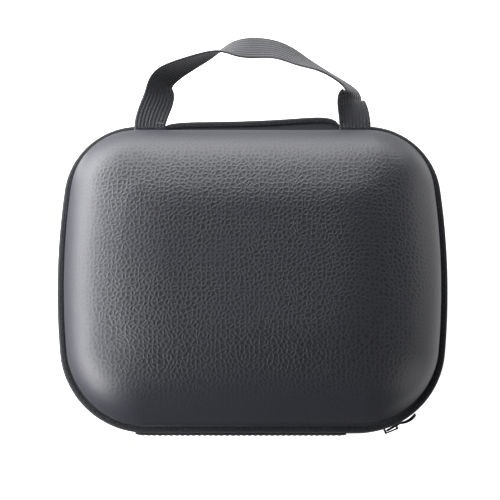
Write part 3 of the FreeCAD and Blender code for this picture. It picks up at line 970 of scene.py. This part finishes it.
def slider(context):
    """The slider's casting, and the bail on it: a flat bar with round edges carried over an arch."""
    for name, node, edge in (("slider_casting", "slider_body", 0.00025),
                             ("slider_bail", "slider_bridge", 0.00035)):
        made = softened_copy(name, node, coated_zinc(context.scene.case_colours), edge)
        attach(made, "slider")


# where the pull tab's straight part ends, as a share of its length, and how far the rest bows and thickens
tab_straight, tab_bow, tab_swell = 0.45, 0.0013, 0.4


def pull(context):
    """The pull tab, with its edges rounded. Past its slot the plate thickens a little and bows outwards,
    half a sine wave deep, so that its tip curls back in towards the zip."""
    tab = softened_copy("pull_tab_plate", "pull_tab", coated_zinc(context.scene.case_colours), 0.0003)
    work = bmesh.new()
    work.from_mesh(tab.data)
    places = np.array([vert.co for vert in work.verts])[:, :2]
    middle = places.mean(0)
    along = np.linalg.svd(places - middle, full_matrices=False)[2][0]
    along = along * np.sign(along[0])
    across = np.array([-along[1], along[0]])
    reach = (places - middle) @ along
    first, span = reach.min(), np.ptp(reach)
    for cut in np.linspace(first + tab_straight * span, first + span - 0.0006, 9):
        bmesh.ops.bisect_plane(work, geom=work.verts[:] + work.edges[:] + work.faces[:], dist=1e-7,
                               plane_co=(*(middle + along * cut), 0), plane_no=(*along, 0))
    for vert in work.verts:
        flat = np.array(vert.co[:2]) - middle
        share = max(0.0, (flat @ along - first) / span - tab_straight) / (1 - tab_straight)
        shift = across * (tab_swell * min(1.0, 4 * share) * (flat @ across)
                          - tab_bow * math.sin(half_turn * share))
        vert.co.x, vert.co.y = vert.co.x + shift[0], vert.co.y + shift[1]
    work.to_mesh(tab.data)
    work.free()
    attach(tab, "pull")


def foam(context):
    """The foam bed and the fitted insert, with soft cut edges."""
    material = soft_foam(context.scene.case_colours)
    for node, name, edge in (("foam_bed", "foam_bed_sheet", 0.0012), ("foam_insert", "foam_block", 0.0016)):
        made = softened_copy(name, node, material, edge)
        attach(made, "base")


def room_half_width(shape, inset, y):
    """Half the width inside the outline, moved in by an inset, at heights y: read off its right side."""
    places, directions = stations(shape)
    inner = places - directions * inset
    right = inner[:, 0] > 0
    order = np.argsort(inner[right, 1])
    return np.interp(y, inner[right, 1][order], inner[right, 0][order])


def net_pocket(context):
    """The net across the lid, its elastic hem and the tape that holds its outer edge.

    The net is a sheet from side to side at each height, bowed a little into the lid. The hem is a flat
    band with round edges that runs from side to side and is gathered in small waves. The tape is a flat
    section carried round the outline below the hem.
    """
    shape, _, colours = settings(context)
    inset = shape.lining_inset + 0.0004
    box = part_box("pocket_net")
    z = (box[0].z + box[1].z) / 2
    y = np.linspace(box[0].y + 0.0004, box[1].y, 70)
    half = room_half_width(shape, inset, y)
    share = np.linspace(-1, 1, 121)
    x = half[:, None] * share[None, :]
    bow = 0.0022 * (1 - share ** 2)[None, :] * np.sin(half_turn * (y - y[0]) / (y[-1] - y[0]))[:, None]
    grid = np.dstack([x, np.broadcast_to(y[:, None], x.shape), z + bow])
    net = piece("lid_net", grid, pocket_netting(colours), about=(0, 0, seam_z))
    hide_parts("pocket_net")
    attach(net, "lid")

    hem_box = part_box("pocket_hem")
    wide, thick = hem_box[1].y - hem_box[0].y, hem_box[1].z - hem_box[0].z
    section = rounded_box(wide, thick * 0.8, thick * 0.3)
    middle = (hem_box[0] + hem_box[1]) / 2
    reach = room_half_width(shape, inset, middle.y)
    run = np.linspace(-reach, reach, 300)
    wave = 0.00025 * np.sin(2 * half_turn * run / 0.0052) + 0.0001 * np.sin(2 * half_turn * run / 0.0021)
    tall = middle.z + section[1][None, :] + wave[:, None]
    grid = np.dstack([np.broadcast_to(run[:, None], tall.shape),
                      np.broadcast_to(middle.y + section[0], tall.shape), tall])
    hem = piece("lid_net_hem", grid, elastic_hem(colours), loops=(False, True), capped=True)
    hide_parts("pocket_hem")
    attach(hem, "lid")

    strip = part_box("pocket_binding")
    places, directions, distances, whole = outline(shape)
    inner = places - directions * 0.007
    left_side = inner[:, 0] < 0
    order = np.argsort(-inner[left_side, 1])
    start = float(np.interp(-strip[1].y, -inner[left_side, 1][order], distances[left_side][order]))
    section = rounded_box(0.0025, strip[1].z - strip[0].z, 0.0003)
    grid = along_outline(stations(shape, start, whole - start),
                         -0.00705 + section[0], (strip[0].z + strip[1].z) / 2 + section[1])
    tape = piece("lid_net_tape", grid, binding_tape(colours), loops=(False, True), capped=True)
    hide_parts("pocket_binding")
    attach(tape, "lid")


def stage(context):
    """The pale floor that curves up far away, the soft lights and the camera.

    The floor is a disc whose height grows with the square of the distance past its flat middle.
    """
    scene = context.scene
    ring = np.concatenate([[0.02], np.linspace(0.3, 1.6, 6), np.linspace(1.8, 3.2, 15)])
    angle = np.linspace(0, 2 * half_turn, 96, endpoint=False)
    tall = np.where(ring > 1.6, (ring - 1.6) ** 2 * 1.3, 0.0) - 0.0002
    grid = np.dstack([np.cos(angle)[:, None] * ring, np.sin(angle)[:, None] * ring,
                      np.broadcast_to(tall, (96, len(ring)))])
    material = finish("pale studio floor", Roughness=0.9, Base_Color=colour("#f4f4f4"),
                      Emission_Color=(1, 1, 1, 1), Emission_Strength=0.80)[0]
    floor = piece("studio_floor", grid, material, loops=(True, False), pole=True, about=(0, 0, 5),
                  inward=True)
    floor.visible_diffuse = floor.visible_glossy = False

    def panel(name, place, aim, size, watts):
        data = bpy.data.lights.new(name, "AREA")
        data.shape = "RECTANGLE"
        data.size, data.size_y = size
        data.energy = watts
        lamp = bpy.data.objects.new(name, data)
        scene.collection.objects.link(lamp)
        aim_at(lamp, place, aim)
        lamp.visible_camera = False

    # a ring of panels round the case, strongest on the left and at the top: azimuth and height in degrees,
    # watts; then low panels lying on the floor, facing up: place and size in metres, watts
    ring_reach, ring_middle = 0.55, 0.07
    for azimuth, climb, watts in ((180, 8, 2.5), (150, 8, 2.8), (150, 30, 0.84), (120, 8, 1.75),
                                  (120, 30, 0.52), (90, 8, 1.56), (90, 30, 0.96), (60, 8, 0.83),
                                  (15, 8, 0.4), (210, 8, 2.7), (210, 30, 0.7), (210, 55, 0.7),
                                  (330, 8, 0.4), (330, 30, 0.21)):
        turn, lift = math.radians(azimuth), math.radians(climb)
        place = np.array([math.cos(turn) * math.cos(lift), math.sin(turn) * math.cos(lift), math.sin(lift)])
        panel(f"ring panel {azimuth} {climb}", place * ring_reach + (0, 0, ring_middle),
              (0, 0, ring_middle), (0.3, 0.22), watts)
    for name, x, y, wide, deep, watts in (("right", 0.34, 0.0, 0.36, 0.5, 0.59),
                                          ("top", 0.0, 0.33, 0.5, 0.4, 0.32),
                                          ("top left", -0.3, 0.26, 0.3, 0.3, 1.38),
                                          ("top right", 0.3, 0.26, 0.3, 0.3, 0.17)):
        panel(f"floor panel {name}", (x, y, 0.002), (x, y, 1), (wide, deep), watts)
    world = bpy.data.worlds.new("studio")
    world.use_nodes = True
    sky = world.node_tree.nodes["Background"].inputs
    sky["Color"].default_value, sky["Strength"].default_value = (1, 1, 1, 1), 0.085
    scene.world = world
    scene.view_settings.view_transform = "Standard"

    data = bpy.data.cameras.new("camera")
    data.sensor_width = 36.0
    data.lens = 2.586 * data.sensor_width
    data.shift_x, data.shift_y = -0.005, 0.0506
    camera = bpy.data.objects.new("camera", data)
    scene.collection.objects.link(camera)
    tilt, distance, aim = math.radians(7.9), 0.8, (0.0, 0.0, 0.075)
    aim_at(camera, (0.0, -distance * math.sin(tilt), aim[2] + distance * math.cos(tilt)), aim)
    scene.camera = camera


def aim_at(made, place, aim):
    """Puts a light or a camera in its place, looking at a point, with +Y towards the top."""
    made.location = place
    look = Vector(aim) - Vector(place)
    made.rotation_mode = "QUATERNION"
    made.rotation_quaternion = look.to_track_quat("-Z", "Y")


def carried_over(context):
    """Finishes for the solid parts that are shown as they are: the rear pressed shell and the zip's stops."""
    for node, build in (("rear_shell", pressed_foam), ("front_zip_stop", coated_zinc),
                        ("rear_zip_stop", coated_zinc)):
        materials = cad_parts[node].data.materials
        materials.clear()
        materials.append(build(context.scene.case_colours))


# ---------------------------------------------------------------- operators

class CASE_OT_shells(bpy.types.Operator):
    """Builds the lid's pressed shell, and gives the rear one and the zip's stops their finishes"""
    bl_idname = "case.shells"
    bl_label = "Shells"

    def execute(self, context):
        carried_over(context)
        lid_core(context)
        return {"FINISHED"}


class CASE_OT_covers(bpy.types.Operator):
    """Builds the leathercloth skins of the lid and the rear shell"""
    bl_idname = "case.covers"
    bl_label = "Covers"

    def execute(self, context):
        for side in (front, rear):
            cover_skin(context, side)
        return {"FINISHED"}


class CASE_OT_linings(bpy.types.Operator):
    """Builds the linings of both halves"""
    bl_idname = "case.linings"
    bl_label = "Linings"

    def execute(self, context):
        for side in (front, rear):
            lining_skin(context, side)
        return {"FINISHED"}


class CASE_OT_bindings(bpy.types.Operator):
    """Builds the tapes folded over the flanges' edges, and their stitches"""
    bl_idname = "case.bindings"
    bl_label = "Bindings"

    def execute(self, context):
        for side in (front, rear):
            binding(context, side)
            binding_stitches(context, side)
        return {"FINISHED"}


class CASE_OT_zip(bpy.types.Operator):
    """Builds the zip's tapes and coils"""
    bl_idname = "case.zip"
    bl_label = "Zip"

    def execute(self, context):
        for side in (front, rear):
            zip_half_tape(context, side)
            zip_half_coil(context, side)
        return {"FINISHED"}


class CASE_OT_slider(bpy.types.Operator):
    """Builds the zip's slider and its bail"""
    bl_idname = "case.slider"
    bl_label = "Slider"

    def execute(self, context):
        slider(context)
        return {"FINISHED"}


class CASE_OT_pull(bpy.types.Operator):
    """Builds the pull tab"""
    bl_idname = "case.pull"
    bl_label = "Pull tab"

    def execute(self, context):
        pull(context)
        return {"FINISHED"}


class CASE_OT_hinge(bpy.types.Operator):
    """Builds the hinge cloth and the spine behind it"""
    bl_idname = "case.hinge"
    bl_label = "Hinge"

    def execute(self, context):
        hinge(context)
        return {"FINISHED"}


class CASE_OT_handle(bpy.types.Operator):
    """Builds the webbing handle and its bar tacks"""
    bl_idname = "case.handle"
    bl_label = "Handle"

    def execute(self, context):
        handle(context)
        return {"FINISHED"}


class CASE_OT_foam(bpy.types.Operator):
    """Builds the foam bed and the fitted foam insert"""
    bl_idname = "case.foam"
    bl_label = "Foam"

    def execute(self, context):
        foam(context)
        return {"FINISHED"}


class CASE_OT_net(bpy.types.Operator):
    """Builds the lid's net pocket"""
    bl_idname = "case.net"
    bl_label = "Net pocket"

    def execute(self, context):
        net_pocket(context)
        return {"FINISHED"}


class CASE_OT_stage(bpy.types.Operator):
    """Builds the floor, the lights and the camera"""
    bl_idname = "case.stage"
    bl_label = "Stage"

    def execute(self, context):
        stage(context)
        return {"FINISHED"}


steps = (CASE_OT_shells, CASE_OT_covers, CASE_OT_linings, CASE_OT_bindings, CASE_OT_zip, CASE_OT_slider,
         CASE_OT_pull, CASE_OT_hinge, CASE_OT_handle, CASE_OT_foam, CASE_OT_net, CASE_OT_stage)
groups = (("case_shape", CaseShape), ("case_cloth", CaseCloth), ("case_colours", CaseColours))


class CASE_PT_sidebar(bpy.types.Panel):
    """The case's sizes, colours and steps"""
    bl_idname = "CASE_PT_sidebar"
    bl_label = "Moulded zip case"
    bl_space_type = "VIEW_3D"
    bl_region_type = "UI"
    bl_category = "Case"

    def draw(self, context):
        for name, group in groups:
            box = self.layout.box()
            for setting in group.__annotations__:
                box.prop(getattr(context.scene, name), setting)
        for step in steps:
            self.layout.operator(step.bl_idname)


def register():
    for name, group in groups:
        bpy.utils.register_class(group)
        setattr(bpy.types.Scene, name, bpy.props.PointerProperty(type=group))
    for step in (*steps, CASE_PT_sidebar):
        bpy.utils.register_class(step)


def unregister():
    for step in reversed((*steps, CASE_PT_sidebar)):
        bpy.utils.unregister_class(step)
    for name, group in reversed(groups):
        delattr(bpy.types.Scene, name)
        bpy.utils.unregister_class(group)


def main():
    register()
    for step in steps:
        area, name = step.bl_idname.split(".")
        getattr(getattr(bpy.ops, area), name)()


if __name__ == "__main__":
    main()
